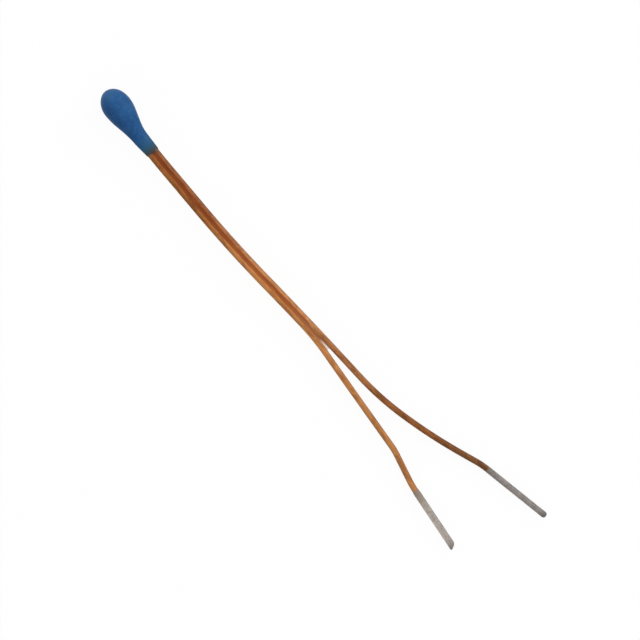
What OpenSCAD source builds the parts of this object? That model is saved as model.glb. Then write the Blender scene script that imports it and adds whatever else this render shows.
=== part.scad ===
// Bead thermistor: a dipped bead on two bonded, enamelled wires with tinned tips.
// Millimetres. +X runs from the bead to the wire tips, +Z is up, and z = 0 is the
// surface the part lies on. Right is +Y, left is -Y.

/* [Wire] */
// Diameter of the copper conductor
core_d = 0.212; // [0.18:0.004:0.26]
// Thickness of the enamel film on the conductor
film_wall = 0.021; // [0.012:0.001:0.03]
// Varnish between the two films where the wires run as a pair
bond_gap = 0.006; // [0.004:0.002:0.02]
// Angle that the varnish climbs round each wire
bond_angle = 66; // [24:1:66]
// Sag of the varnish below its edges, top and bottom
bond_sag = 0.02; // [0.004:0.002:0.03]

/* [Element] */
// Die length along the bead
die_length = 0.6; // [0.5:0.02:0.8]
// Die thickness between the electrodes
die_thick = 0.4; // [0.3:0.02:0.5]
// Die height
die_height = 0.6; // [0.5:0.02:0.7]
// Thickness of the electrode film
electrode_thick = 0.02; // [0.01:0.005:0.04]
// Bare rim of the die round each electrode
electrode_margin = 0.02; // [0.01:0.005:0.04]
// Solder over the crown of the wire end
solder_cover = 0.02; // [0.015:0.005:0.04]
// Solder between the wire end and its electrode
solder_under = 0.01; // [0.006:0.002:0.03]
// Bare rim of the electrode round the foot of the solder
solder_margin = 0.03; // [0.01:0.005:0.06]
// Bare conductor between the die and the start of the enamel
bare_inside = 0.12; // [0.08:0.02:0.2]

/* [Coat] */
// Coat over the solder at the widest point of the bead
coat_wall = 0.151; // [0.1:0.001:0.25]
// Coat ahead of the die, up to the nose
nose_cover = 0.49; // [0.4:0.002:0.8]
// Length of the shoulder from the widest point to the neck
shoulder_length = 1.63; // [1.4:0.01:2]
// Length of the neck along the paired wires
neck_length = 0.73; // [0.5:0.01:1]
// Coat over the wires at the edge of the neck
neck_skin = 0.02; // [0.015:0.005:0.04]
// Extra coat over the wires where the neck starts
neck_swell = 0.053; // [0.03:0.001:0.09]
// Sideways drift of the coat at its shoulder, towards the left wire
coat_drift = 0.036; // [0:0.002:0.044]
// Lean of the neck's edge across the two wires
edge_angle = -4; // [-30:1:30]

/* [Bends] */
// Length of the pair, from where the wires close up inside the bead to the split
pair_length = 10.1; // [8:0.1:14]
// Shares of that length in its four stretches
pair_shares = [37, 39, 79, 47];
// Turn of each stretch of the pair
pair_turns = [2.7, -0.2, 4.1, -0.6];
// Length of the enamelled left lead, from the split to its tinned end
left_length = 8.2; // [5:0.1:10]
// Shares of that length in its five stretches
left_shares = [15, 46, 5, 11, 5];
// Turn of each stretch of the left lead
left_turns = [-8.5, 0.6, -9.3, 0, 7.4];
// Length of the enamelled right lead, from the split to its tinned end
right_length = 9.6; // [6:0.1:12]
// Shares of that length in its five stretches
right_shares = [63, 45, 54, 18, 12];
// Turn of each stretch of the right lead
right_turns = [-0.9, 10.5, 6.8, 1, -9.7];

/* [Tinned ends] */
// Length of the left tinned end, up to the point of its slanted cut
tin_length_left = 2.85; // [2:0.05:4]
// Length of the right tinned end
tin_length_right = 3.05; // [2:0.05:4]
// Solder thickness on the left end
tin_wall_left = 0.039; // [0.03:0.001:0.06]
// Solder thickness on the right end
tin_wall_right = 0.024; // [0.022:0.001:0.04]
// Solder beyond the end of the conductor
tin_cap = 0.03; // [0.02:0.005:0.08]
// Length over which the solder thins out towards the enamel
tin_feather = 0.16; // [0.1:0.02:0.3]
// Slant of the cut on the left end, away from square
cut_angle = 34; // [0:1:40]
// Rounding of the right end
tip_round = 0.11; // [0.04:0.01:0.12]

/* [Hidden] */
// Facets round a wire and round the bead
wire_sides = 16;
coat_sides = 32;
// Largest turn between two rings of a wire
ring_angle = 4;
// Largest sag of a wire's facet off its arc, as a share of the conductor
chord_share = 0.009;
// Squareness of the neck's oval, where 2 is an ellipse
neck_power = 2.6;
// How far back the coat's drift peaks, where 1 is half way to the neck's edge
drift_power = 1.3;
// Share of the shoulder at which the wires have closed up
join_share = 0.92;
// Angle on the wire where the solder's fillet meets its crown
crown_angle = 25;
// Where the fillet's hollow lies: share of the foot beyond the crown, and of the wire's height
hollow_out = 0.15;
hollow_up = 0.3;
// Share of its foot and of its cover that the solder loses at its ends
foot_taper = 0.3;
cover_taper = 0.5;
// Share of the solder's thickness over the enamel where a tinned end starts
feather_share = 0.3;
$fn = 48;

core_r = core_d / 2;
film_r = core_r + film_wall;
pitch = 2 * film_r + bond_gap;
tin_r_left = core_r + tin_wall_left;
tin_r_right = core_r + tin_wall_right;

// The element: die, electrodes, wire ends and solder, from the middle outwards
electrode_y = die_thick / 2 + electrode_thick;
electrode_length = die_length - 2 * electrode_margin;
electrode_height = die_height - 2 * electrode_margin;
wire_y = electrode_y + solder_under + core_r;
solder_half = electrode_length / 2 - solder_margin;
solder_foot = electrode_height / 2 - solder_margin;
wire_start = solder_cover - solder_half;
film_start = die_length / 2 + bare_inside;

// The bead is as wide as what it holds plus the coat over it
bulb_r = wire_y + core_r + solder_cover + coat_wall;
nose_length = die_length / 2 + nose_cover;
edge_w = pitch / 2 + film_r + neck_skin;
edge_h = film_r + neck_skin;
neck_w = edge_w + neck_swell;
neck_h = edge_h + neck_swell;

// Inside the shoulder the wires close up to the pair in two equal and opposite arcs
join_x = join_share * shoulder_length;
close_angle = 2 * atan((wire_y - pitch / 2) / (join_x - film_start));
close_feed = (join_x - film_start) / (2 * sin(close_angle)) * close_angle * PI / 180;

// Lengths of the stretches of a wire
function total(list, i = 0) = i == len(list) ? 0 : list[i] + total(list, i + 1);
pair_feeds = pair_length / total(pair_shares) * pair_shares;
left_feeds = left_length / total(left_shares) * left_shares;
right_feeds = right_length / total(right_shares) * right_shares;

// A place on a wire is [x, y, heading]: one step along an arc of a given length and turn
function arc_step(p, feed, turn) = turn == 0
    ? [p[0] + feed * cos(p[2]), p[1] + feed * sin(p[2]), p[2]]
    : let (r = feed * 180 / (PI * turn), h = p[2] + turn)
      [p[0] + r * (sin(h) - sin(p[2])), p[1] - r * (cos(h) - cos(p[2])), h];

// Rings that an arc needs
function ring_count(feed, turn) = max(1, ceil(abs(turn) / ring_angle),
    ceil(sqrt(feed * abs(turn) * PI / 180 / (8 * chord_share * core_d))));

// All places along a chain of arcs, after the first one
function walk(p, feeds, turns, i = 0) = i == len(feeds) ? [] :
    let (n = ring_count(feeds[i], turns[i]),
         run = [for (k = [1:n]) arc_step(p, feeds[i] * k / n, turns[i] * k / n)])
    concat(run, walk(run[n - 1], feeds, turns, i + 1));

// The place at a given distance along a chain of arcs
function along(p, feeds, turns, s, i = 0) = s <= feeds[i] || i == len(feeds) - 1
    ? arc_step(p, s, turns[i] * s / feeds[i])
    : along(arc_step(p, feeds[i], turns[i]), feeds, turns, s - feeds[i], i + 1);

// A place moved sideways, and the part of a list up to one of its entries
function aside(p, d) = [p[0] - d * sin(p[2]), p[1] + d * cos(p[2]), p[2]];
function first(list, n) = [for (i = [0:n - 1]) list[i]];

// The pair's middle line, then each lead: closing arcs, pair and free run
join = [join_x, 0, 0];
pair_run = concat([join], walk(join, pair_feeds, pair_turns));
split = pair_run[len(pair_run) - 1];
function closing(side) =
    let (p = [film_start, side * wire_y, 0],
         run = walk(p, [close_feed, close_feed], [-side * close_angle, side * close_angle]))
    concat([p], first(run, len(run) - 1), [aside(join, side * pitch / 2)]);
function covered(side, feeds, turns) = concat(
    closing(side),
    [for (i = [1:len(pair_run) - 1]) aside(pair_run[i], side * pitch / 2)],
    walk(aside(split, side * pitch / 2), feeds, turns));
left_run = covered(-1, left_feeds, left_turns);
right_run = covered(1, right_feeds, right_turns);
left_strip = left_run[len(left_run) - 1];
right_strip = right_run[len(right_run) - 1];
left_core_length = tin_length_left - tin_cap - (tin_r_left + core_r) * tan(cut_angle);
right_core_length = tin_length_right - tin_cap - tip_round / 2;
left_tip = arc_step(left_strip, tin_length_left - 2 * tin_r_left * tan(cut_angle), 0);
right_tip = arc_step(right_strip, tin_length_right - tip_round, 0);

// The part lies on the bead and on both tips: slopes of the plane through the three
drop_left = bulb_r - tin_r_left;
drop_right = bulb_r - tin_r_right;
spread = left_tip[0] * right_tip[1] - right_tip[0] * left_tip[1];
slope_x = (drop_left * right_tip[1] - drop_right * left_tip[1]) / spread;
slope_y = (left_tip[0] * drop_right - right_tip[0] * drop_left) / spread;
lie_y = atan(slope_x);
lie_x = -atan(slope_y * cos(lie_y));
lie_z = bulb_r / sqrt(1 + slope_x * slope_x + slope_y * slope_y);

module lie_down() {
    translate([0, 0, lie_z])
        rotate([lie_x, 0, 0])
            rotate([0, lie_y, 0])
                children();
}

// A ring of points square to the wire at a place on it
function across(p, y, z, x = 0) = [
    p[0] + x * cos(p[2]) - y * sin(p[2]), p[1] + x * sin(p[2]) + y * cos(p[2]), z];
function ring(p, r) = [for (k = [0:wire_sides - 1])
    let (a = k * 360 / wire_sides) across(p, r * cos(a), r * sin(a))];
function wall_faces(m, n, at = 0, inward = false) = [for (i = [0:m - 2], k = [0:n - 1])
    let (a = at + i * n + k, b = at + i * n + (k + 1) % n)
    each inward ? [[a, b, a + n], [b, b + n, a + n]] : [[a, a + n, b], [b, a + n, b + n]]];

// A closed skin over rings of points; a nose point, if given, closes the first ring
module skin(rings, nose = undef) {
    m = len(rings);
    n = len(rings[0]);
    pts = concat([for (r = rings) each r], is_undef(nose) ? [] : [nose]);
    front = is_undef(nose)
        ? [[for (k = [0:n - 1]) k]]
        : [for (k = [0:n - 1]) [k, (k + 1) % n, m * n]];
    back = [[for (k = [0:n - 1]) m * n - 1 - k]];
    polyhedron(points = pts, faces = concat(front, wall_faces(m, n), back), convexity = 10);
}

// A round bar, and a round tube, along a list of places
module bar(run, r) skin([for (p = run) ring(p, r)]);

module tube(run, r_out, r_in) {
    m = len(run);
    n = wire_sides;
    pts = concat([for (p = run) each ring(p, r_out)], [for (p = run) each ring(p, r_in)]);
    front = [for (k = [0:n - 1]) let (j = (k + 1) % n) [k, j, m * n + j, m * n + k]];
    e = (m - 1) * n;
    back = [for (k = [0:n - 1]) let (j = (k + 1) % n) [e + k, m * n + e + k, m * n + e + j, e + j]];
    polyhedron(points = pts, convexity = 10,
        faces = concat(front, wall_faces(m, n), wall_faces(m, n, m * n, true), back));
}

// Coat: half an ellipsoid at the nose, a cosine shoulder, then a thinning neck
function middle(s) = s <= join_x ? [s, 0, 0] : along(join, pair_feeds, pair_turns, s - join_x);
function drift(s) = let (t = max(0, s) / (shoulder_length + neck_length))
    coat_drift * pow(sin(180 * pow(t, drift_power)), 2);
function spine(s) = aside(middle(s), -drift(s));
function oval(p, w, h, power, lean = 0) = [for (k = [0:coat_sides - 1])
    let (a = k * 360 / coat_sides,
         y = w * sign(cos(a)) * pow(abs(cos(a)), 2 / power),
         z = h * sign(sin(a)) * pow(abs(sin(a)), 2 / power))
    across(p, y, z, y * tan(lean))];
function nose_ring(a) = oval(spine(-nose_length * cos(a)), bulb_r * sin(a), bulb_r * sin(a), 2);
function shoulder_ring(t) = let (c = (1 + cos(180 * t)) / 2)
    oval(spine(shoulder_length * t), neck_w + (bulb_r - neck_w) * c,
        neck_h + (bulb_r - neck_h) * c, neck_power + (2 - neck_power) * c);
function neck_ring(t) = oval(spine(shoulder_length + neck_length * t),
    neck_w + (edge_w - neck_w) * t, neck_h + (edge_h - neck_h) * t, neck_power, edge_angle * t);

module coat_form() {
    skin(concat([for (a = [10:10:90]) nose_ring(a)],
            [for (k = [1:14]) shoulder_ring(k / 14)],
            [for (k = [1:4]) neck_ring(k / 4)]),
        [-nose_length, 0, 0]);
}

// Solder on the right electrode: a concave fillet that climbs from its foot over the wire
function solder_ring(u) =
    let (taper = pow(abs(u), 3),
         foot = solder_foot * (1 - foot_taper * taper),
         crown = core_r + solder_cover * (1 - cover_taper * taper),
         axis = core_r + solder_under,
         top = [crown * cos(crown_angle), axis + crown * sin(crown_angle)],
         bend = [crown + hollow_out * (foot - crown), hollow_up * core_r],
         flank = [for (k = [0:5]) let (t = k / 5)
             (1 - t) * (1 - t) * [foot, 0] + 2 * t * (1 - t) * bend + t * t * top],
         cap = [for (k = [1:6]) let (a = crown_angle + (180 - 2 * crown_angle) * k / 7)
             [crown * cos(a), axis + crown * sin(a)]],
         back = [for (k = [5:-1:0]) [-flank[k][0], flank[k][1]]],
         loop = concat(flank, cap, back))
    [for (k = [len(loop) - 1:-1:0])
        [u * solder_half, electrode_y + loop[k][1], loop[k][0]]];

module solder_form() {
    skin([for (u = [-1, -0.9, -0.7, -0.4, 0, 0.4, 0.7, 0.9, 1]) solder_ring(u)]);
}

// Varnish web between the two films, with a hollow top and bottom
bond_steps = max(1, min(3, round(bond_angle * wire_sides / 360)));
function web_ring(p) =
    let (da = 360 / wire_sides,
         lip = film_r * sin(bond_steps * da) - bond_sag,
         right = [for (k = [bond_steps:-1:-bond_steps]) let (a = 180 + k * da)
             across(p, pitch / 2 + film_r * cos(a), film_r * sin(a))],
         left = [for (k = [bond_steps:-1:-bond_steps]) let (a = k * da)
             across(p, film_r * cos(a) - pitch / 2, film_r * sin(a))])
    concat(right, [across(p, 0, lip)], left, [across(p, 0, -lip)]);

module web(run) skin([for (p = run) web_ring(p)]);

// Outline of the two films with the web between them
function pair_ring(p) =
    let (da = 360 / wire_sides,
         turns = wire_sides / 2 - bond_steps,
         lip = film_r * sin(bond_steps * da) - bond_sag,
         right = [for (k = [-turns:turns]) let (a = k * da)
             across(p, pitch / 2 + film_r * cos(a), film_r * sin(a))],
         left = [for (k = [-turns:turns]) let (a = 180 + k * da)
             across(p, film_r * cos(a) - pitch / 2, film_r * sin(a))])
    concat(right, [across(p, 0, lip)], left, [across(p, 0, -lip)]);

// The wires as far as the coat holds them, and on to the end of the pair's first stretch
pair_held = ring_count(pair_feeds[0], pair_turns[0]);
module held_wires() {
    for (side = [-1, 1]) {
        bar(closing(side), film_r);
        bar([[wire_start, side * wire_y, 0], closing(side)[0]], core_r);
    }
    skin([for (p = first(pair_run, pair_held + 1)) pair_ring(p)]);
}

// A solder sleeve along a straight wire end, from its feathered start to its rounded rim
module sleeve(strip, r, length, rim) {
    thin = film_r + feather_share * (r - film_r);
    profile = concat([[0, 0], [thin, 0], [r, tin_feather]],
        [for (a = [0:15:90]) [r - rim + rim * cos(a), length - rim + rim * sin(a)]],
        [[0, length]]);
    translate([strip[0], strip[1], 0])
        rotate([0, 90, strip[2]])
            rotate_extrude()
                polygon(profile);
}

module epoxy_coat() {
    color([0.16, 0.33, 0.53])
        lie_down()
            difference() {
                coat_form();
                held_wires();
                solder_form();
                mirror([0, 1, 0])
                    solder_form();
                cube([die_length, die_thick, die_height], center = true);
                cube([electrode_length, 2 * electrode_y, electrode_height], center = true);
            }
}

module thermistor_die() {
    color([0.22, 0.21, 0.2])
        lie_down()
            cube([die_length, die_thick, die_height], center = true);
}

module electrode(side) {
    color([0.82, 0.81, 0.78])
        lie_down()
            translate([0, side * (die_thick + electrode_thick) / 2, 0])
                cube([electrode_length, electrode_thick, electrode_height], center = true);
}

module electrode_left() electrode(-1);

module electrode_right() electrode(1);

module solder_joint(side) {
    color([0.66, 0.65, 0.63])
        lie_down()
            mirror([0, side < 0 ? 1 : 0, 0])
                difference() {
                    solder_form();
                    bar([[wire_start, wire_y, 0], [film_start, wire_y, 0]], core_r);
                }
}

module solder_joint_left() solder_joint(-1);

module solder_joint_right() solder_joint(1);

module conductor(run, side, strip, length) {
    color([0.78, 0.47, 0.3])
        lie_down()
            bar(concat([[wire_start, side * wire_y, 0]], run, [arc_step(strip, length, 0)]), core_r);
}

module conductor_left() conductor(left_run, -1, left_strip, left_core_length);

module conductor_right() conductor(right_run, 1, right_strip, right_core_length);

module enamel_left() {
    color([0.73, 0.47, 0.24])
        lie_down()
            tube(left_run, film_r, core_r);
}

module enamel_right() {
    color([0.56, 0.33, 0.17])
        lie_down()
            tube(right_run, film_r, core_r);
}

module bond_seam() {
    color([0.36, 0.17, 0.09])
        lie_down()
            web(pair_run);
}

module tinned_end_left() {
    far = arc_step(left_strip, tin_length_left, 0);
    cutter = 8 * tin_r_left;
    color([0.6, 0.57, 0.54])
        lie_down()
            difference() {
                sleeve(left_strip, tin_r_left, tin_length_left, tin_wall_left / 2);
                bar([arc_step(left_strip, -tin_feather, 0),
                    arc_step(left_strip, left_core_length, 0)], core_r);
                translate([far[0], far[1], 0])
                    rotate([0, 0, far[2]])
                        translate([0, -tin_r_left, 0])
                            rotate([0, 0, cut_angle])
                                translate([0, -cutter / 2, -cutter / 2])
                                    cube(cutter);
            }
}

module tinned_end_right() {
    color([0.6, 0.57, 0.54])
        lie_down()
            difference() {
                sleeve(right_strip, tin_r_right, tin_length_right, tip_round);
                bar([arc_step(right_strip, -tin_feather, 0),
                    arc_step(right_strip, right_core_length, 0)], core_r);
            }
}

epoxy_coat();
thermistor_die();
electrode_left();
electrode_right();
solder_joint_left();
solder_joint_right();
conductor_left();
conductor_right();
enamel_left();
enamel_right();
bond_seam();
tinned_end_left();
tinned_end_right();
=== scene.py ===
"""Dresses a bead thermistor: a dipped bead on two bonded, enamelled wires with tinned tips.

The pieces are drawn flat in millimetres, as the wires are bent, and then laid down on the
bead and on both tips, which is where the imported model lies.
"""

import logging
import math
from abc import ABC, abstractmethod
from dataclasses import dataclass, replace
from enum import Enum
from typing import Callable, ClassVar, Iterator, Mapping, Sequence

import bmesh
import bpy
from mathutils import Euler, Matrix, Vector


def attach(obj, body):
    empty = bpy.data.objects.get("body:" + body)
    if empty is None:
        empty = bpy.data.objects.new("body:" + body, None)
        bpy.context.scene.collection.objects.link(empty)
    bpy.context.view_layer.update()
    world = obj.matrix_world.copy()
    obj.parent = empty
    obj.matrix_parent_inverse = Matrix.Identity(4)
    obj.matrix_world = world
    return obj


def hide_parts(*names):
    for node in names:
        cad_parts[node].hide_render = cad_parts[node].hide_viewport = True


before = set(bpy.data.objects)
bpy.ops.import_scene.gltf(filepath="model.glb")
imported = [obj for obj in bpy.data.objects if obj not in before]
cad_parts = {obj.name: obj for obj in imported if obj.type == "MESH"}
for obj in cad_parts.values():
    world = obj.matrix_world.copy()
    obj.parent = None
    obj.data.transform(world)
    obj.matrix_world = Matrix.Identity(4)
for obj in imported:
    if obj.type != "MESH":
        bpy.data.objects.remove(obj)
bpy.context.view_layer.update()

MM = 0.001
# Millimetres within which points are the same, lie in one ring, or are merged
SAME_POINT, SAME_RING, MERGED = 1e-6, 1e-4, 0.0002
log = logging.getLogger("bead_thermistor")

Object = bpy.types.Object
Material = bpy.types.Material
Socket = bpy.types.NodeSocket
Colour = tuple[float, float, float, float]
Levels = tuple[int, int, int]
Span = tuple[float, float]
WHITE: Colour = (1.0, 1.0, 1.0, 1.0)


def srgb(levels: Levels) -> Colour:
    """Turns a colour as a screen shows it into the linear one that shaders use.

    Args:
        levels: Red, green and blue from 0 to 255.

    Returns:
        The linear colour with full alpha.
    """
    shares = (level / 255 for level in levels)
    linear = (c / 12.92 if c <= 0.04045 else ((c + 0.055) / 1.055) ** 2.4 for c in shares)
    return (*linear, 1.0)


def blend(start: float, end: float, share: float) -> float:
    """A value part of the way from one to another."""
    return start + (end - start) * share


# Layout of the wires


class Side(Enum):
    """The two leads, with the sign of Y that each one lies on."""

    LEFT = -1
    RIGHT = 1

    @property
    def label(self) -> str:
        """Name of the side in lower case."""
        return self.name.lower()


@dataclass(frozen=True)
class Place:
    """A place on a wire in the drawing plane: millimetres, and a heading in degrees."""

    x: float
    y: float
    heading: float = 0.0

    @property
    def point(self) -> Vector:
        """The place as a point."""
        return Vector((self.x, self.y, 0.0))

    @property
    def ahead(self) -> Vector:
        """Unit vector along the wire."""
        a = math.radians(self.heading)
        return Vector((math.cos(a), math.sin(a), 0.0))

    @property
    def across(self) -> Vector:
        """Unit vector square to the wire, towards +Y where the wire runs along +X."""
        return Vector((-self.ahead.y, self.ahead.x, 0.0))

    def step(self, feed: float, turn: float = 0.0) -> "Place":
        """The place after one arc or straight.

        Args:
            feed: Length along the wire.
            turn: Turn in degrees, 0 for a straight.

        Returns:
            The place at the end.
        """
        if not turn:
            end = self.point + self.ahead * feed
            return Place(end.x, end.y, self.heading)
        r = feed / math.radians(turn)
        a, b = math.radians(self.heading), math.radians(self.heading + turn)
        x = self.x + r * (math.sin(b) - math.sin(a))
        y = self.y - r * (math.cos(b) - math.cos(a))
        return Place(x, y, self.heading + turn)

    def aside(self, distance: float) -> "Place":
        """The same place on a wire that runs beside this one."""
        p = self.point + self.across * distance
        return Place(p.x, p.y, self.heading)


ORIGIN = Place(0.0, 0.0)


@dataclass(frozen=True)
class Bends:
    """A chain of arcs: the length and the turn of each stretch."""

    feeds: tuple[float, ...]
    turns: tuple[float, ...]

    def end(self, start: Place) -> Place:
        """The place at the end of the chain.

        Args:
            start: Where the chain begins.

        Returns:
            Where it ends.
        """
        for feed, turn in zip(self.feeds, self.turns):
            start = start.step(feed, turn)
        return start

    def beside(self, distance: float) -> "Bends":
        """The chain of a wire that runs beside this one, at a distance towards +Y."""
        feeds = (f - distance * math.radians(t) for f, t in zip(self.feeds, self.turns))
        return Bends(tuple(feeds), self.turns)


@dataclass(frozen=True)
class Lead:
    """One free lead: its bends, and the radius and length of its tinned end."""

    bends: Bends
    tin_r: float
    tin_length: float


@dataclass(frozen=True)
class Harness:
    """Sizes of the two wires, their bends, and how the part lies."""

    core_r: float = 0.106
    film_wall: float = 0.021
    bond_gap: float = 0.006
    film_start: float = 0.42
    wire_y: float = 0.336
    join_x: float = 1.4996
    bulb_r: float = 0.613
    cut_angle: float = 34.0
    tip_round: float = 0.11
    pair: Bends = Bends((1.85, 1.95, 3.95, 2.35), (2.7, -0.2, 4.1, -0.6))
    left: Lead = Lead(Bends((1.5, 4.6, 0.5, 1.1, 0.5), (-8.5, 0.6, -9.3, 0, 7.4)), 0.145, 2.85)
    right: Lead = Lead(Bends((3.15, 2.25, 2.7, 0.9, 0.6), (-0.9, 10.5, 6.8, 1, -9.7)), 0.13, 3.05)

    @property
    def film_r(self) -> float:
        """Radius of a wire over its enamel."""
        return self.core_r + self.film_wall

    @property
    def pitch(self) -> float:
        """Distance between the middles of the paired wires."""
        return 2 * self.film_r + self.bond_gap

    @property
    def join(self) -> Place:
        """Where the wires have closed up to a pair, on the pair's middle line."""
        return Place(self.join_x, 0.0)

    def closing(self, side: Side) -> Bends:
        """The two arcs by which a wire closes up inside the bead.

        Args:
            side: Which wire.

        Returns:
            The chain of the two arcs.
        """
        reach = self.join_x - self.film_start
        angle = 2 * math.atan((self.wire_y - self.pitch / 2) / reach)
        feed = reach / (2 * math.sin(angle)) * angle
        turn = side.value * math.degrees(angle)
        return Bends((feed, feed), (-turn, turn))

    def lead(self, side: Side) -> Lead:
        """The free lead on one side."""
        return self.left if side is Side.LEFT else self.right

    def strip(self, side: Side) -> Place:
        """Where the enamel of a lead ends."""
        split = self.pair.end(self.join)
        return self.lead(side).bends.end(split.aside(side.value * self.pitch / 2))

    def contact(self, side: Side) -> Place:
        """The place on a tinned end that the part rests on.

        Args:
            side: Which lead.

        Returns:
            The place, before the slanted cut or the rounding of the tip.
        """
        lead, back = self.lead(side), self.tip_round
        if side is Side.LEFT:
            back = 2 * lead.tin_r * math.tan(math.radians(self.cut_angle))
        return self.strip(side).step(lead.tin_length - back)

    def settle(self, obj: Object) -> None:
        """Lays a piece down, in metres, on the plane that touches the bead and both tips.

        Args:
            obj: The active piece, drawn flat in millimetres.
        """
        left, right = self.contact(Side.LEFT), self.contact(Side.RIGHT)
        drop_left, drop_right = self.bulb_r - self.left.tin_r, self.bulb_r - self.right.tin_r
        spread = left.x * right.y - right.x * left.y
        slope_x = (drop_left * right.y - drop_right * left.y) / spread
        slope_y = (left.x * drop_right - right.x * drop_left) / spread
        lie_y = math.atan(slope_x)
        lie_x = -math.atan(slope_y * math.cos(lie_y))
        lie_z = self.bulb_r / math.sqrt(1 + slope_x**2 + slope_y**2)
        obj.rotation_mode = "YXZ"
        obj.rotation_euler = (lie_x, lie_y, 0.0)
        obj.location = (0.0, 0.0, lie_z * MM)
        obj.scale = (MM, MM, MM)
        bpy.ops.object.transform_apply(location=True, rotation=True, scale=True)
        obj.rotation_mode = "XYZ"


# Modelling tools


class Workpiece:
    """A mesh on the bench: a ring that is drawn out, bent and closed in edit mode."""

    # Largest step along a wire, in millimetres and degrees
    finest: ClassVar[Span] = (0.25, 1.0)

    def __init__(self, name: str, place: Place, radius: float, sides: int) -> None:
        """Adds the first ring, square to the wire, and selects it for the next step.

        Args:
            name: Name of the piece.
            place: Where the ring stands.
            radius: Its radius.
            sides: Number of its points.
        """
        bpy.ops.object.select_all(action="DESELECT")
        bpy.ops.mesh.primitive_circle_add(
            vertices=sides,
            radius=radius,
            fill_type="NOTHING",
            location=place.point,
            rotation=(0.0, math.radians(90), math.radians(place.heading)),
        )
        bpy.ops.object.transform_apply(location=True, rotation=True, scale=True)
        self.obj: Object = bpy.context.object
        self.obj.name = self.obj.data.name = name
        self.place = place
        bpy.ops.object.mode_set(mode="EDIT")
        bpy.ops.mesh.select_mode(type="VERT")
        bpy.ops.mesh.select_all(action="SELECT")

    def follow(self, bends: Bends) -> None:
        """Carries the selected ring along a chain of arcs and straights.

        Args:
            bends: The chain; mesh.spin counts its turns the other way round.
        """
        length, angle = self.finest
        for feed, turn in zip(bends.feeds, bends.turns):
            steps = max(math.ceil(feed / length), math.ceil(abs(turn) / angle))
            if turn:
                bpy.ops.mesh.spin(
                    steps=steps,
                    dupli=False,
                    angle=-math.radians(turn),
                    center=self.place.point + self.place.across * (feed / math.radians(turn)),
                    axis=(0.0, 0.0, 1.0),
                )
            else:
                for _ in range(steps):
                    self.push(self.place.ahead * (feed / steps))
            self.place = self.place.step(feed, turn)

    def draw_out(self, feed: float, wide: float, high: float | None = None) -> None:
        """Draws the selected ring out along the wire and grows or shrinks it.

        Args:
            feed: Length along the wire, less than 0 for backwards.
            wide: Factor on its width.
            high: Factor on its height, as wide where it is left out.
        """
        self.push(self.place.ahead * feed)
        self.place = self.place.step(feed)
        self.grow(wide, high)

    def move_to(self, place: Place) -> None:
        """Extrudes the selected ring to a place, without turning it."""
        self.push(place.point - self.place.point)
        self.place = place

    def grow(self, wide: float, high: float | None = None) -> None:
        """Grows or shrinks the selected ring, by one factor or by its width and height."""
        size = (wide, wide, wide) if high is None else (1.0, wide, high)
        bpy.ops.transform.resize(value=size, center_override=self.place.point)

    def shape(self, outline: Sequence[Span]) -> None:
        """Moves the points of the first ring, in their order round it, to an outline.

        Args:
            outline: Points across and up, counter-clockwise seen from the end of the wire.
        """
        middle, side = self.place.point, self.place.across

        def turn(y: float, z: float) -> float:
            """Angle of a point round the ring."""
            return math.atan2(z, y) % math.tau

        points = [vert.co.copy() for vert in bmesh.from_edit_mesh(self.obj.data).verts]
        points.sort(key=lambda co: turn((co - middle).dot(side), co.z))
        first = min(range(len(outline)), key=lambda i: turn(*outline[i]))
        for k, start in enumerate(points):
            y, z = outline[(first + k) % len(outline)]
            self.pick(lambda co, at=start: (co - at).length < SAME_POINT)
            bpy.ops.transform.translate(value=middle + side * y + Vector((0.0, 0.0, z)) - start)
        bpy.ops.mesh.select_all(action="SELECT")

    def close(self) -> None:
        """Closes the selected ring in a point."""
        self.push(Vector())
        bpy.ops.mesh.merge(type="CENTER")

    def pick(self, keep: Callable[[Vector], bool]) -> None:
        """Selects points by their place.

        Args:
            keep: Says of a point, in millimetres, whether it is selected.
        """
        bpy.ops.mesh.select_all(action="DESELECT")
        mesh = bmesh.from_edit_mesh(self.obj.data)
        for vert in mesh.verts:
            vert.select_set(keep(vert.co))
        mesh.select_flush(True)
        bmesh.update_edit_mesh(self.obj.data)

    def pick_ring(self, x: float) -> None:
        """Selects the ring that stands square to X at one place."""
        self.pick(lambda co: abs(co.x - x) < SAME_RING)

    def done(self) -> Object:
        """Merges doubles, turns all faces outwards and leaves edit mode.

        Returns:
            The object, which is the active one and the only one selected.
        """
        bpy.ops.mesh.select_all(action="SELECT")
        bpy.ops.mesh.remove_doubles(threshold=MERGED)
        bpy.ops.mesh.normals_make_consistent(inside=False)
        bpy.ops.mesh.select_all(action="DESELECT")
        bpy.ops.object.mode_set(mode="OBJECT")
        return self.obj

    @staticmethod
    def push(offset: Vector) -> None:
        """Extrudes what is selected by an offset."""
        bpy.ops.mesh.extrude_region_move(TRANSFORM_OT_translate={"value": offset})


def modify(obj: Object, kind: str, **settings: object) -> None:
    """Gives a piece a modifier and applies it.

    Args:
        obj: The active piece, in millimetres.
        kind: Blender's name of the modifier type.
        settings: Properties of the modifier.
    """
    bpy.ops.object.modifier_add(type=kind)
    modifier = obj.modifiers[-1]
    for key, value in settings.items():
        setattr(modifier, key, value)
    bpy.ops.object.modifier_apply(modifier=modifier.name)


@dataclass(frozen=True)
class Lumps:
    """Small lumps of a surface: their size, their finer layers and their height."""

    name: str
    grain: float
    depth: int
    swing: float

    def put_on(self, obj: Object) -> None:
        """Lifts and lowers a surface along its normals.

        Args:
            obj: The active piece, in millimetres.
        """
        pattern = bpy.data.textures.new(self.name, type="CLOUDS")
        pattern.noise_scale = self.grain
        pattern.noise_depth = self.depth
        modify(obj, "DISPLACE", texture=pattern, texture_coords="LOCAL", strength=self.swing)


# Shared shader effects


Inputs = Mapping[str | int, object]
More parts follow.
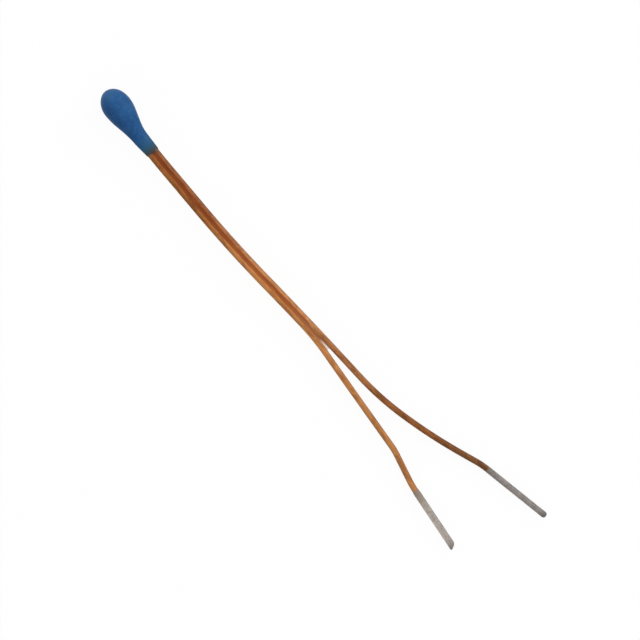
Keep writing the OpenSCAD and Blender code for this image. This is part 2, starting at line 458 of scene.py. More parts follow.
# Sockets of a Mix node for colours: its mask, both colours and the result
MIX_MASK, MIX_BELOW, MIX_ABOVE, MIX_RESULT = 0, 6, 7, 2


class NodeBench:
    """A node tree under construction, whose inputs take values or other sockets."""

    def __init__(self, tree: bpy.types.NodeTree) -> None:
        """Takes a node tree and empties it."""
        self.tree = tree
        tree.nodes.clear()

    def node(self, kind: str, inputs: Inputs | None = None, **settings: object) -> bpy.types.Node:
        """Adds a node.

        Args:
            kind: Blender's name of the node type.
            inputs: What its input sockets get, by their names or numbers.
            settings: Properties of the node.

        Returns:
            The node.
        """
        made = self.tree.nodes.new(kind)
        for key, value in settings.items():
            setattr(made, key, value)
        for key, value in (inputs or {}).items():
            self.feed(value, made.inputs[key])
        return made

    def feed(self, value: object, socket: Socket) -> None:
        """Links a socket to another one, or sets it.

        Args:
            value: A value, or the socket that gives it.
            socket: The socket that takes it.
        """
        if isinstance(value, Socket):
            self.tree.links.new(value, socket)
        else:
            socket.default_value = value

    def noise(self, vector: Socket, scale: object, detail: float) -> Socket:
        """Value of a noise texture with a number of finer layers."""
        inputs = {"Vector": vector, "Scale": scale, "Detail": detail}
        return self.node("ShaderNodeTexNoise", inputs).outputs["Fac"]

    def spread(self, value: Socket, ends: Sequence[object], to: Sequence[object] = ()) -> Socket:
        """Maps a value smoothly from one range to another.

        Args:
            value: The value.
            ends: Its lowest and highest level.
            to: What these become, 0 and 1 where it is left out.

        Returns:
            The mapped value.
        """
        labels = ("Value", "From Min", "From Max", "To Min", "To Max")
        inputs = dict(zip(labels, (value, *ends, *to)))
        made = self.node("ShaderNodeMapRange", inputs, interpolation_type="SMOOTHSTEP")
        return made.outputs["Result"]

    def mix(self, mask: Socket, below: object, above: object) -> Socket:
        """Mixes two colours, where the mask is 0 for the first and 1 for the second."""
        inputs = {MIX_MASK: mask, MIX_BELOW: below, MIX_ABOVE: above}
        return self.node("ShaderNodeMix", inputs, data_type="RGBA").outputs[MIX_RESULT]

    def reckon(self, operation: str, *values: object) -> Socket:
        """Result of a Math node."""
        inputs = dict(enumerate(values))
        return self.node("ShaderNodeMath", inputs, operation=operation).outputs["Value"]


class Kind(Enum):
    """Kinds of sockets on a node group."""

    VECTOR = "NodeSocketVector"
    COLOUR = "NodeSocketColor"
    VALUE = "NodeSocketFloat"


Labels = Mapping[Kind, tuple[str, ...]]


class Effects(Enum):
    """The shared effects, by the names of their node groups."""

    MOTTLE = "mottle"
    GRAIN = "grain"
    FADE = "fade"


class Effect(NodeBench):
    """A shader node group under construction, which reads a vector and other inputs."""

    def __init__(self, effect: Effects, inputs: Labels, outputs: Labels) -> None:
        """Makes the group and its sockets.

        Args:
            effect: Which effect.
            inputs: Names of its inputs by kind, apart from the vector.
            outputs: Names of its outputs by kind.
        """
        super().__init__(bpy.data.node_groups.new(effect.value, "ShaderNodeTree"))
        faces = {"INPUT": {Kind.VECTOR: ("Vector",), **inputs}, "OUTPUT": outputs}
        for face, sockets in faces.items():
            for kind, labels in sockets.items():
                for label in labels:
                    self.tree.interface.new_socket(label, in_out=face, socket_type=kind.value)
        self.given = self.node("NodeGroupInput").outputs
        self.result = self.node("NodeGroupOutput").inputs


@dataclass(frozen=True)
class Mottle:
    """Clouds of three tones: broad patches of the dark and middle tone, with pale flecks."""

    patch_detail: float = 3.0
    patch_ends: Span = (0.36, 0.62)
    fleck_detail: float = 2.0
    fleck_ends: Span = (0.48, 0.8)

    def build(self) -> None:
        """Builds the node group."""
        inputs = {Kind.COLOUR: ("Light", "Middle", "Dark"), Kind.VALUE: ("Patch", "Fleck")}
        effect = Effect(Effects.MOTTLE, inputs, {Kind.COLOUR: ("Color",)})
        given = effect.given
        broad = effect.noise(given["Vector"], given["Patch"], self.patch_detail)
        fine = effect.noise(given["Vector"], given["Fleck"], self.fleck_detail)
        patch = effect.spread(broad, self.patch_ends)
        fleck = effect.spread(fine, self.fleck_ends)
        ground = effect.mix(patch, given["Dark"], given["Middle"])
        effect.feed(effect.mix(fleck, ground, given["Light"]), effect.result["Color"])


@dataclass(frozen=True)
class Grain:
    """Fine unevenness of a surface: a roughness that varies and a height for the bump."""

    detail: float = 4.0
    ends: Span = (0.3, 0.7)

    def build(self) -> None:
        """Builds the node group."""
        inputs, outputs = ("Scale", "Smooth", "Rough"), ("Roughness", "Height")
        effect = Effect(Effects.GRAIN, {Kind.VALUE: inputs}, {Kind.VALUE: outputs})
        given = effect.given
        height = effect.noise(given["Vector"], given["Scale"], self.detail)
        rough = effect.spread(height, self.ends, (given["Smooth"], given["Rough"]))
        effect.feed(rough, effect.result["Roughness"])
        effect.feed(height, effect.result["Height"])


@dataclass(frozen=True)
class Fade:
    """A mask that goes from 0 to 1 along X between two places, with a slightly uneven front."""

    scale: float = 7000.0
    detail: float = 2.0

    def build(self) -> None:
        """Builds the node group."""
        inputs = {Kind.VALUE: ("Start", "End", "Stray")}
        effect = Effect(Effects.FADE, inputs, {Kind.VALUE: ("Mask",)})
        given = effect.given
        axes = effect.node("ShaderNodeSeparateXYZ", {"Vector": given["Vector"]}).outputs
        wander = effect.noise(given["Vector"], self.scale, self.detail)
        place = effect.reckon("MULTIPLY_ADD", wander, given["Stray"], axes["X"])
        mask = effect.spread(place, (given["Start"], given["End"]))
        effect.feed(mask, effect.result["Mask"])


# Finishes


@dataclass(frozen=True)
class Tones:
    """Three tones of one colour, as a screen shows them."""

    light: Levels
    middle: Levels
    dark: Levels


@dataclass(frozen=True)
class Front:
    """A change along an axis: its start, its end and how far it strays, in millimetres."""

    start: float
    end: float
    stray: float


@dataclass(frozen=True)
class Halves:
    """Painted light and shade: lit and shaded tones on both sides of a wire, first towards -Y,
    then +Y.
    """

    low: Tones
    high: Tones
    front: Front


Paint = Levels | Tones | Halves


@dataclass(frozen=True)
class Surface:
    """Scales per metre of patches, flecks and bumps, range of roughness, relief, and gloss."""

    patch: float
    fleck: float
    bump: float
    rough: Span
    relief: float
    metallic: float = 0.0
    ior: float = 1.5
    specular: float = 0.5


class Recipe(NodeBench):
    """A material under construction, with a Principled shader and Object coordinates."""

    def __init__(self, name: str, surface: Surface) -> None:
        """Makes the material.

        Args:
            name: Name of the material.
            surface: Its texture and gloss.
        """
        self.material = bpy.data.materials.new(name)
        self.material.use_nodes = True
        super().__init__(self.material.node_tree)
        self.surface = surface
        self.coords = self.node("ShaderNodeTexCoord").outputs["Object"]

    def use(self, effect: Effects, vector: Socket, **inputs: object) -> bpy.types.NodeOutputs:
        """Places a shared effect that reads given coordinates, and gives its outputs."""
        group = bpy.data.node_groups[effect.value]
        return self.node("ShaderNodeGroup", {"Vector": vector, **inputs}, node_tree=group).outputs

    def turned(self, start: Place, streak: float = 1.0) -> Socket:
        """Object coordinates turned to run along a wire.

        Args:
            start: Where they are 0, and their heading.
            streak: Factor along the wire, less than 1 for streaks.

        Returns:
            The coordinates.
        """
        if (start, streak) == (ORIGIN, 1.0):
            return self.coords
        inputs = {
            "Vector": self.coords,
            "Location": start.point * MM,
            "Rotation": (0.0, 0.0, math.radians(start.heading)),
            "Scale": (1 / streak, 1.0, 1.0),
        }
        return self.node("ShaderNodeMapping", inputs, vector_type="TEXTURE").outputs["Vector"]

    def tones(self, vector: Socket, tones: Tones) -> Socket:
        """A colour mottled with three tones.

        Args:
            vector: Coordinates.
            tones: The three tones.

        Returns:
            The colour.
        """
        shades = {tone.title(): srgb(levels) for tone, levels in vars(tones).items()}
        scales = {"Patch": self.surface.patch, "Fleck": self.surface.fleck}
        return self.use(Effects.MOTTLE, vector, **shades, **scales)["Color"]

    def fade(self, vector: Socket, front: Front, below: object, above: object) -> Socket:
        """Changes from one colour to another.

        Args:
            vector: Coordinates; the change is along their X.
            front: Where the change is.
            below: The colour before it.
            above: The colour after it.

        Returns:
            The colour.
        """
        start, end, stray = front.start * MM, front.end * MM, front.stray * MM
        mask = self.use(Effects.FADE, vector, Start=start, End=end, Stray=stray)["Mask"]
        return self.mix(mask, below, above)

    def finish(self, vector: Socket, colour: object) -> None:
        """Adds the shader, with a colour and with the surface's roughness, bump and gloss.

        Args:
            vector: Coordinates of the grain.
            colour: The base colour.
        """
        surface = self.surface
        smooth, rough = surface.rough
        uneven = self.use(Effects.GRAIN, vector, Scale=surface.bump, Smooth=smooth, Rough=rough)
        relief = {"Strength": 1.0, "Distance": surface.relief * MM, "Height": uneven["Height"]}
        inputs = {
            "Base Color": colour,
            "Roughness": uneven["Roughness"],
            "Normal": self.node("ShaderNodeBump", relief).outputs["Normal"],
            "Metallic": surface.metallic,
            "IOR": surface.ior,
            "Specular IOR Level": surface.specular,
        }
        shader = self.node("ShaderNodeBsdfPrincipled", inputs)
        self.node("ShaderNodeOutputMaterial", {"Surface": shader.outputs["BSDF"]})


@dataclass(frozen=True)
class Finish:
    """A finish: its surface, its first paint, and its changes along a wire.

    Along and grain are where these coordinates start, streak a factor along the grain.
    """

    name: str
    surface: Surface
    first: Paint
    changes: tuple[tuple[Front, Paint], ...] = ()
    along: Place = ORIGIN
    grain: Place = ORIGIN
    streak: float = 1.0

    def build(self) -> Material:
        """Makes the material.

        Returns:
            The material.
        """
        recipe = Recipe(self.name, self.surface)
        along, grain = recipe.turned(self.along), recipe.turned(self.grain, self.streak)
        colour = self._paint(recipe, grain, self.first)
        for front, paint in self.changes:
            colour = recipe.fade(along, front, colour, self._paint(recipe, grain, paint))
        recipe.finish(grain, colour)
        return recipe.material

    def _paint(self, recipe: Recipe, grain: Socket, paint: Paint) -> object:
        """The colour of a paint.

        Args:
            recipe: The material.
            grain: Coordinates of the grain.
            paint: The paint.

        Returns:
            The colour, or the socket of one that varies.
        """
        if isinstance(paint, Tones):
            return recipe.tones(grain, paint)
        if isinstance(paint, Halves):
            # Painted light and shade: one side's tones fade into the other's across the wire.
            across = recipe.turned(replace(self.along, heading=self.along.heading + 90))
            low, high = recipe.tones(grain, paint.low), recipe.tones(grain, paint.high)
            return recipe.fade(across, paint.front, low, high)
        return srgb(paint)


def epoxy() -> Finish:
    """Satin dipped epoxy, clouded blue, thin and dull at its edge; painted sheen on its nose,
    painted shade and light across it.

    Returns:
        The finish.
    """
    # The nose colour is a painted sheen.
    painted_nose_sheen, thin, rim = (62, 108, 152), (40, 84, 112), (62, 68, 70)
    # Painted shade towards -Y and painted light towards +Y, across the bead.
    painted_shade_tones = Tones((39, 85, 135), (28, 76, 128), (22, 69, 118))
    painted_light_tones = Tones((50, 100, 151), (36, 89, 143), (29, 80, 133))
    edge = 2.37
    changes = (
        (Front(-0.95, -0.1, 0.2), Halves(painted_shade_tones, painted_light_tones, Front(-0.4, 0.25, 0.15))),
        (Front(1.55, edge, 0.2), thin),
        (Front(2.09, edge, 0.1), rim),
    )
    surface = Surface(1800, 9000, 9000, (0.42, 0.52), 0.003, specular=0.14)
    return Finish("dipped_epoxy", surface, painted_nose_sheen, changes)


def enamel(name: str, heading: float, *drifts: tuple[Span, Tones]) -> Finish:
    """Clear enamel over copper: fine streaks, darker at and behind the coat's edge, and a tone
    that drifts.

    Args:
        name: Name of the material.
        heading: Heading of the streaks in degrees.
        drifts: Where each change of tone starts and ends, in millimetres, and its tones.

    Returns:
        The finish.
    """
    coat_edge_dark = Tones((118, 86, 62), (108, 76, 54), (96, 66, 46))
    stray, streak = 0.4, 0.3
    changes = tuple((Front(*span, stray), tones) for span, tones in drifts)
    surface = Surface(5000, 16000, 9000, (0.42, 0.55), 0.002, metallic=0.1, specular=0.15)
    grain = replace(ORIGIN, heading=heading)
    return Finish(name, surface, coat_edge_dark, changes, grain=grain, streak=streak)


AMBER_ENAMEL = enamel(
    "amber_enamel",
    2.0,
    ((2.45, 2.8), Tones((178, 111, 54), (152, 91, 40), (122, 69, 29))),
    ((5.0, 9.0), Tones((214, 147, 80), (192, 128, 72), (162, 103, 56))),
    ((14.5, 16.5), Tones((206, 142, 79), (184, 123, 70), (156, 101, 56))),
)
BROWN_ENAMEL = enamel(
    "brown_enamel",
    6.0,
    ((2.5, 2.95), Tones((178, 111, 64), (154, 93, 52), (124, 72, 40))),
    ((5.0, 9.0), Tones((216, 149, 90), (194, 131, 82), (164, 105, 63))),
    ((11.6, 13.2), Tones((190, 126, 74), (168, 109, 65), (136, 86, 48))),
    ((14.4, 16.8), Tones((166, 103, 52), (145, 87, 44), (116, 69, 33))),
    ((18.3, 20.0), Tones((146, 95, 50), (126, 79, 43), (102, 64, 34))),
)


def varnish() -> Finish:
    """Bonding varnish in the groove of the pair: red-brown, paler where it thins at the split.

    Returns:
        The finish.
    """
    # The first colour is darker at and behind the coat's edge.
    coat_edge_dark, dull, pale = (92, 62, 48), (160, 98, 60), (252, 240, 232)
    near = Tones((154, 80, 36), (138, 68, 28), (122, 56, 22))
    far = Tones((186, 106, 54), (170, 92, 44), (154, 80, 36))
    changes = (
        (Front(2.3, 2.65, 0.1), near),
        (Front(5.6, 9.2, 0.4), far),
        (Front(10.6, 12.0, 0.2), dull),
        (Front(12.47, 13.04, 0.1), pale),
    )
    surface = Surface(6000, 15000, 9000, (0.5, 0.62), 0.002, specular=0.12)
    grain = replace(ORIGIN, heading=3.0)
    return Finish("bonding_varnish", surface, coat_edge_dark, changes, grain=grain, streak=0.15)


def tinning(harness: Harness, side: Side) -> Finish:
    """Dull solder: warm grey patches, darker where it starts and at the tip; painted shade
    towards +Y.

    Args:
        harness: The wires.
        side: Which lead; the solder of the left one is paler.

    Returns:
        The finish, with coordinates that start at the edge of the enamel.
    """
    # Painted light towards -Y and painted shade towards +Y, on each tinned end.
    if side is Side.LEFT:
        painted_light_tones = Tones((222, 213, 200), (206, 196, 184), (186, 177, 167))
        painted_shade_tones = Tones((186, 177, 166), (169, 160, 150), (150, 142, 135))
        start, start_length = (146, 127, 112), 1.2
        tip, tip_length = (134, 126, 121), 0.4
    else:
        painted_light_tones = Tones((174, 168, 163), (155, 147, 142), (136, 127, 123))
        painted_shade_tones = Tones((162, 156, 152), (144, 137, 132), (126, 118, 114))
        start, start_length = (124, 113, 99), 0.5
        tip, tip_length = (112, 108, 104), 0.3
    place, length = harness.strip(side), harness.lead(side).tin_length
    changes = (
        (Front(0.0, start_length, 0.25), Halves(painted_light_tones, painted_shade_tones, Front(-0.13, 0.07, 0.06))),
        (Front(length - tip_length, length, 0.1), tip),
    )
    surface = Surface(5200, 17000, 16000, (0.55, 0.7), 0.005, 0.3, 1.6, 0.3)
    return Finish(f"{side.label}_tinning", surface, start, changes, along=place, grain=place)


CERAMIC = Finish(
    "oxide_ceramic",
    Surface(6000, 24000, 24000, (0.6, 0.8), 0.004),
    Tones((86, 84, 80), (58, 56, 54), (44, 43, 42)),
)
SILVER = Finish(
    "fired_silver",
    Surface(7000, 30000, 30000, (0.35, 0.5), 0.002, metallic=0.9),
    Tones((222, 220, 214), (206, 203, 196), (184, 181, 174)),
)
SOLDER = Finish(
    "joint_solder",
    Surface(5000, 16000, 16000, (0.3, 0.45), 0.004, metallic=0.8),
    Tones((186, 184, 180), (168, 166, 161), (146, 144, 140)),
)
COPPER = Finish(
    "drawn_copper",
    Surface(4000, 20000, 20000, (0.25, 0.4), 0.002, metallic=0.95),
    Tones((222, 150, 108), (200, 124, 82), (176, 104, 66)),
)


# Pieces


def dress(obj: Object, material: Material, slot: str, *nodes: str) -> None:
    """Gives a new piece its material, its body and the nodes it stands for.

    Args:
        obj: The piece, in its place.
        material: Its finish.
        slot: The record's material slot; not used.
        nodes: The CAD nodes it replaces.
    """
    obj.data.materials.clear()
    obj.data.materials.append(material)
    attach(obj, "root")
    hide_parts(*nodes)
    log.info("%s: %d faces, replaces %s", obj.name, len(obj.data.polygons), ", ".join(nodes))


@dataclass
class Piece(ABC):
    """A piece that is drawn flat, laid down and dressed in place of a CAD node."""

    harness: Harness
    finish: Finish
    slot: str
    node: str
    # Edges sharper than this, in degrees, stay edges
    sharp: ClassVar[float] = 50.0

    @abstractmethod
    def model(self) -> Object:
        """Models the piece in the drawing plane."""

    def build(self) -> None:
        """Models, lays down, smooths and dresses the piece."""
        obj = self.model()
        self.harness.settle(obj)
        bpy.ops.object.shade_smooth_by_angle(angle=math.radians(self.sharp))
        dress(obj, self.finish.build(), self.slot, self.node)


@dataclass
class BeadCoat(Piece):
    """The dipped coat: round nose, shoulder that narrows to an oval neck, thin lip on the wires.

    Neck and edge are half widths and half heights. Each ring of the lip is a length and the
    factors on its width and height.
    """

    nose_length: float = 0.79
    shoulder_length: float = 1.63
    neck_length: float = 0.73
    neck: Span = (0.33, 0.2)
    edge: Span = (0.281, 0.15)
    lip: tuple[tuple[float, float, float], ...] = ((0.014, 0.95, 0.93), (0.004, 0.85, 0.8))
    drift: float = 0.036
    drift_power: float = 1.3
    neck_curve: float = 0.7
    nose_last: float = 0.2
    sides: int = 48
    nose_steps: int = 12
    shoulder_steps: int = 22
    neck_steps: int = 8
    lumps: Lumps = Lumps("dip_runs", grain=0.55, depth=1, swing=0.02)

    def model(self) -> Object:
        """Draws the coat out from its widest ring, first to the nose and then to the neck.

        Returns:
            The coat in the drawing plane.
        """
        work = Workpiece("bead_coat", ORIGIN, self.harness.bulb_r, self.sides)
        self._nose(work)
        work.pick_ring(ORIGIN.x)
        work.place = ORIGIN
        self._shoulder(work)
        coat = work.done()
        modify(coat, "SUBSURF", levels=1, render_levels=1)
        self.lumps.put_on(coat)
        return coat

    def _nose(self, work: Workpiece) -> None:
        """Draws the widest ring back over the nose and closes it.

        Args:
            work: The coat.
        """
        last_x, last_r = 0.0, 1.0
        for k in range(1, self.nose_steps):
            a = math.radians(90 * k / self.nose_steps)
            x, r = -self.nose_length * math.sin(a), math.cos(a)
            work.draw_out(x - last_x, r / last_r)
            last_x, last_r = x, r
        work.draw_out(-self.nose_length - last_x, self.nose_last)
        work.close()

    def _rings(self) -> Iterator[tuple[float, float, float]]:
        """The rings of the shoulder, which is half a wave, and of the straight neck.

        Yields:
            How far a ring lies behind the widest one, its half width and its half height.
        """
        r = self.harness.bulb_r
        for k in range(1, self.shoulder_steps + 1):
            t = k / self.shoulder_steps
            c = (1 + math.cos(math.pi * t)) / 2
            yield self.shoulder_length * t, *(blend(size, r, c) for size in self.neck)
        for k in range(1, self.neck_steps + 1):
            t = k / self.neck_steps
            sizes = (blend(size, end, t) for size, end in zip(self.neck, self.edge))
            yield self.shoulder_length + self.neck_length * t, *sizes

    def _shoulder(self, work: Workpiece) -> None:
        """Draws the widest ring out over the shoulder and the neck, and turns its lip in.

        Args:
            work: The coat.
        """
        last_w = last_h = self.harness.bulb_r
        for reach, w, h in self._rings():
            work.move_to(self._middle(reach))
            work.grow(w / last_w, h / last_h)
            last_w, last_h = w, h
        for feed, wide, high in self.lip:
            work.draw_out(feed, wide, high)
        work.close()

    def _middle(self, reach: float) -> Place:
        """A place on the coat's middle line, which drifts at the shoulder and follows the pair.

        Args:
            reach: How far the place lies behind the widest ring.

        Returns:
            The place.
        """
        t = reach / (self.shoulder_length + self.neck_length)
        shift = -self.drift * math.sin(math.pi * t**self.drift_power) ** 2
        paired = max(0.0, reach - self.harness.join_x)
        return Place(reach, shift + math.radians(self.neck_curve) * paired**2 / 2)


@dataclass
class EnamelFilm(Piece):
    """The enamel film of one wire, from inside the bead to its stripped edge."""

    side: Side
    sides: int = 32

    def model(self) -> Object:
        """Carries a ring along the wire and gives it the film's thickness, inwards.

        Returns:
            The film in the drawing plane.
        """
        h, sign = self.harness, self.side.value
        start = Place(h.film_start, sign * h.wire_y)
        work = Workpiece(f"film_{self.side.label}", start, h.film_r, self.sides)
        paired = h.pair.beside(sign * h.pitch / 2)
        for bends in (h.closing(self.side), paired, h.lead(self.side).bends):
            work.follow(bends)
        film = work.done()
        modify(film, "SOLIDIFY", thickness=h.film_wall, offset=-1.0)
        return film


@dataclass
class VarnishWeb(Piece):
    """The varnish between the paired wires, hollow on top and below, with a tongue at the split.

    The climbs are angles on a wire up to the web's edges, the flank those between them, and the
    tongue a factor on the height of each of its rings.
    """

    climb_left: float = 54.0
    climb_right: float = 82.0
    climb_below: float = 67.5
    flank: tuple[float, ...] = (30.0, 0.0, -30.0)
    sag: float = 0.016
    skin: float = 0.002
    top_spans: int = 8
    tongue: tuple[float, ...] = (0.98, 0.96, 0.92, 0.86, 0.8, 0.7, 0.6)
    tongue_step: float = 0.21
    tongue_curve: float = -2.5
    sharp: ClassVar[float] = 60.0

    def profile(self) -> list[Span]:
        """Outline of the web square to the pair, the top drawn further over the right wire.

        Returns:
            Points across and up, in millimetres from the middle of the pair.
        """
        h = self.harness
        right = self._on_wire(Side.RIGHT, self.climb_right)
        left = self._on_wire(Side.LEFT, self.climb_left)
        points = []
        for k in range(self.top_spans + 1):
            t = k / self.top_spans
            y = blend(right[0], left[0], t)
            z = blend(right[1], left[1], t) - self.sag * math.sin(math.pi * t)
            beside = abs(abs(y) - h.pitch / 2)
            crown = math.sqrt(max(0.0, h.film_r**2 - beside**2))
            points.append((y, max(z, crown + self.skin)))
        down = (*self.flank, -self.climb_below)
        points += [self._on_wire(Side.LEFT, angle, -2 * self.skin) for angle in down]
        points.append((0.0, self.sag - self._on_wire(Side.LEFT, self.climb_below)[1]))
        points += [self._on_wire(Side.RIGHT, angle, -2 * self.skin) for angle in reversed(down)]
        return points

    def _on_wire(self, side: Side, angle: float, proud: float = 0.0) -> Span:
        """A point on a paired wire.

        Args:
            side: Which wire.
            angle: Angle up from the pair's middle plane, on the side of the other wire.
            proud: How far the point stands off the enamel.

        Returns:
            The point across and up.
        """
        r, a = self.harness.film_r + proud, math.radians(angle)
        return (side.value * (self.harness.pitch / 2 - r * math.cos(a)), r * math.sin(a))

    def model(self) -> Object:
        """Shapes a ring to the groove between the wires, and carries it to the split.

        Returns:
            The web in the drawing plane.
        """
        h = self.harness
        outline = self.profile()
        work = Workpiece("varnish_web", h.join, h.film_r, len(outline))
        work.shape(outline)
        work.follow(h.pair)
        for shrink in self.tongue:
            work.move_to(work.place.step(self.tongue_step, self.tongue_curve * self.tongue_step))
            work.grow(1.0, shrink)
        work.close()
        work.pick_ring(h.join_x)
        bpy.ops.mesh.edge_face_add()
        return work.done()


@dataclass
class TinnedEnd(Piece):
    """The solder on one stripped end: feathered at its start, cut off or rounded at its tip."""

    side: Side
    feather: float = 0.16
    feather_share: float = 0.3
    feather_steps: int = 4
    cut_run: float = 0.38
    cut_ease: float = 0.1
    ease_spare: float = 0.3
    ease_steps: int = 7
    round_steps: int = 6
    round_last: float = 0.5
    sides: int = 32
    rings: int = 36
    sharp: ClassVar[float] = 45.0

    @property
    def lead(self) -> Lead:
        """The lead that this end belongs to."""
        return self.harness.lead(self.side)

    def model(self) -> Object:
        """Draws a ring out along the stripped end and shapes its tip.

        Returns:
            The tinned end in the drawing plane.
        """
        h, label, cut = self.harness, self.side.label, self.side is Side.LEFT
        work = Workpiece(f"tin_{label}", h.strip(self.side), h.core_r, self.sides)
        bpy.ops.mesh.edge_face_add()
        last = h.core_r
        for k in range(self.feather_steps + 1):
            share = blend(self.feather_share, 1.0, k / self.feather_steps)
            r = blend(h.film_r, self.lead.tin_r, share)
            work.draw_out(self.feather / self.feather_steps if k else 0.0, r / last)
            last = r
        straight = self.lead.tin_length - self.feather - (self.cut_run if cut else h.tip_round)
        for _ in range(self.rings):
            work.draw_out(straight / self.rings, 1.0)
        if cut:
            self._cut(work)
        else:
            self._round(work)
        tin = work.done()
        Lumps(f"solder_{label}", grain=0.22, depth=2, swing=0.012).put_on(tin)
        return tin

    def _cut(self, work: Workpiece) -> None:
        """Cuts the tip off on a slant, a little further out for the easing of its edge.

        Args:
            work: The tinned end, with its last ring selected.
        """
        work.draw_out(self.cut_run + self.ease_spare * self.cut_ease, 1.0)
        tip = work.place.point - work.place.across * self.lead.tin_r
        slant = Place(0.0, 0.0, work.place.heading + self.harness.cut_angle)
        bpy.ops.mesh.select_all(action="SELECT")
        bpy.ops.mesh.bisect(plane_co=tip, plane_no=slant.ahead, use_fill=True, clear_outer=True)
        bpy.ops.mesh.bevel(offset=self.cut_ease, segments=self.ease_steps, affect="EDGES")

    def _round(self, work: Workpiece) -> None:
        """Rounds the tip over its rim and closes it.

        Args:
            work: The tinned end, with its last ring selected.
        """
        radius, rim = self.lead.tin_r, self.harness.tip_round
        last, back = radius, 0.0
        for k in range(1, self.round_steps + 1):
            a = math.radians(90 * k / self.round_steps)
            r, x = radius - rim + rim * math.cos(a), rim * math.sin(a)
            work.draw_out(x - back, r / last)
            last, back = r, x
        work.draw_out(0.0, self.round_last)
        work.close()


def dress_inside() -> None:
    """Gives the CAD nodes that the bead and the enamel hide their finishes."""
    hidden = {
        CERAMIC: ("thermistor_die",),
        SILVER: ("electrode_left", "electrode_right"),
        SOLDER: ("solder_joint_left", "solder_joint_right"),
        COPPER: ("conductor_left", "conductor_right"),
    }
    for finish, nodes in hidden.items():
        material = finish.build()
        for node in nodes:
            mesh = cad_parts[node].data
            mesh.materials.clear()
            mesh.materials.append(material)
            log.info("%s: %s", node, finish.name)


# Studio


@dataclass(frozen=True)
class Softbox:
    """A square lamp: metres right, up and high from the part, its side and its watts."""

    name: str
    offset: tuple[float, float, float]
    size: float
    power: float


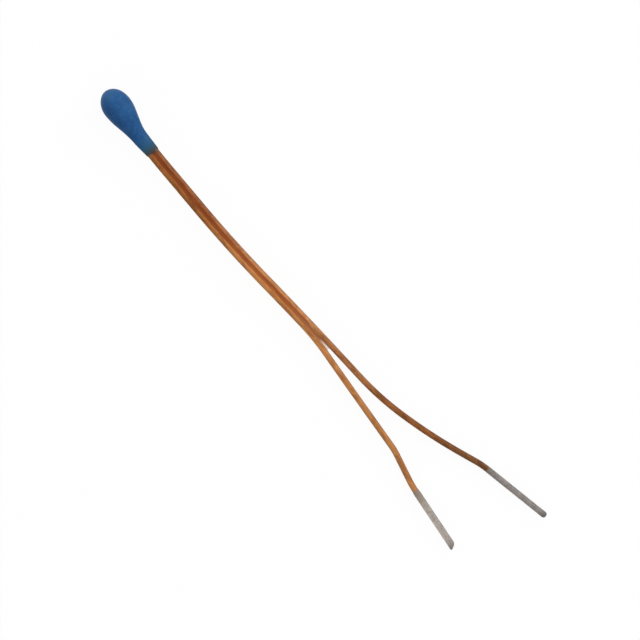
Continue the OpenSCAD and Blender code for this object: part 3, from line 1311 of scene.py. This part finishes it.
@dataclass
class Studio:
    """Floor, light and camera."""

    centre: Span = (11.888 * MM, 1.255 * MM)
    width: float = 26.016 * MM
    turn: float = 52.5
    lens: float = 400.0
    sensor: float = 36.0
    eye_level: float = 0.3 * MM
    clip: Span = (0.001, 20.0)
    floor_size: float = 4.0
    floor_level: float = -0.002 * MM
    floor_tone: Colour = (0.42, 0.42, 0.42, 1.0)
    keep_shadow: float = 0.06
    sky: float = 0.95
    lamps: tuple[Softbox, ...] = (
        Softbox("key_softbox", (0.4, 0.3, 0.3), size=0.3, power=1.0),
        Softbox("nose_softbox", (-0.28, 0.38, 0.4), size=0.2, power=0.35),
    )

    def build(self) -> None:
        """Sets up the floor, the light and the camera."""
        self._floor()
        self._sky()
        for lamp in self.lamps:
            self._lamp(lamp)
        self._camera()
        bpy.context.scene.view_settings.view_transform = "Standard"

    def _floor(self) -> None:
        """A plain pale floor that looks white and keeps the soft shadow of the part."""
        place = (0.0, 0.0, self.floor_level)
        bpy.ops.object.select_all(action="DESELECT")
        bpy.ops.mesh.primitive_plane_add(size=self.floor_size, location=place)
        floor = bpy.context.object
        floor.name = "floor"
        material = bpy.data.materials.new("pale_floor")
        material.use_nodes = True
        bench = NodeBench(material.node_tree)
        rays = bench.node("ShaderNodeLightPath").outputs
        shown = bench.reckon("MAXIMUM", rays["Is Camera Ray"], rays["Is Glossy Ray"])
        shown = bench.reckon("MAXIMUM", shown, rays["Is Transmission Ray"])
        tone = bench.mix(shown, self.floor_tone, WHITE)
        matt = bench.node("ShaderNodeBsdfDiffuse", {"Color": tone}).outputs["BSDF"]
        glow = bench.node("ShaderNodeEmission", {"Color": WHITE}).outputs["Emission"]
        share = bench.reckon("MULTIPLY", shown, 1 - self.keep_shadow)
        seen = bench.node("ShaderNodeMixShader", {0: share, 1: matt, 2: glow})
        bench.node("ShaderNodeOutputMaterial", {"Surface": seen.outputs["Shader"]})
        floor.data.materials.append(material)

    def _sky(self) -> None:
        """Even light from all round, and a white background."""
        world = bpy.data.worlds.new("studio")
        bpy.context.scene.world = world
        world.use_nodes = True
        bench = NodeBench(world.node_tree)
        rays = bench.node("ShaderNodeLightPath").outputs
        soft = bench.node("ShaderNodeBackground", {"Strength": self.sky}).outputs[0]
        white = bench.node("ShaderNodeBackground", {"Strength": 1.0}).outputs[0]
        seen = bench.node("ShaderNodeMixShader", {0: rays["Is Camera Ray"], 1: soft, 2: white})
        bench.node("ShaderNodeOutputWorld", {"Surface": seen.outputs["Shader"]})

    def _lamp(self, box: Softbox) -> None:
        """Adds a lamp that faces the part.

        Args:
            box: The lamp.
        """
        offset = Vector(box.offset)
        offset.rotate(Euler((0.0, 0.0, math.radians(self.turn))))
        bpy.ops.object.light_add(type="AREA", location=Vector((*self.centre, 0.0)) + offset)
        lamp = bpy.context.object
        lamp.name = box.name
        lamp.data.shape = "SQUARE"
        lamp.data.size = box.size
        lamp.data.energy = box.power
        lamp.rotation_euler = (-offset).to_track_quat("-Z", "Y").to_euler()

    def _camera(self) -> None:
        """A long lens straight above the part, turned as the photo shows it."""
        place = (*self.centre, self.eye_level + self.width * self.lens / self.sensor)
        bpy.ops.object.camera_add(location=place, rotation=(0.0, 0.0, math.radians(self.turn)))
        camera = bpy.context.object
        camera.name = "camera"
        camera.data.lens = self.lens
        camera.data.sensor_width = self.sensor
        camera.data.clip_start, camera.data.clip_end = self.clip
        bpy.context.scene.camera = camera


def main() -> None:
    """Builds the effects, the pieces with their finishes, and the studio."""
    logging.basicConfig(level=logging.INFO, format="%(name)s: %(message)s")
    for effect in (Mottle(), Grain(), Fade()):
        effect.build()
    harness = Harness()
    left_tin, right_tin = tinning(harness, Side.LEFT), tinning(harness, Side.RIGHT)
    pieces: tuple[Piece, ...] = (
        BeadCoat(harness, epoxy(), "epoxy", "epoxy_coat"),
        EnamelFilm(harness, AMBER_ENAMEL, "enamel_light", "enamel_left", Side.LEFT),
        EnamelFilm(harness, BROWN_ENAMEL, "enamel_dark", "enamel_right", Side.RIGHT),
        VarnishWeb(harness, varnish(), "varnish", "bond_seam"),
        TinnedEnd(harness, left_tin, "tinning", "tinned_end_left", Side.LEFT),
        TinnedEnd(harness, right_tin, "tinning", "tinned_end_right", Side.RIGHT),
    )
    for piece in pieces:
        piece.build()
    dress_inside()
    Studio().build()


if __name__ == "__main__":
    main()
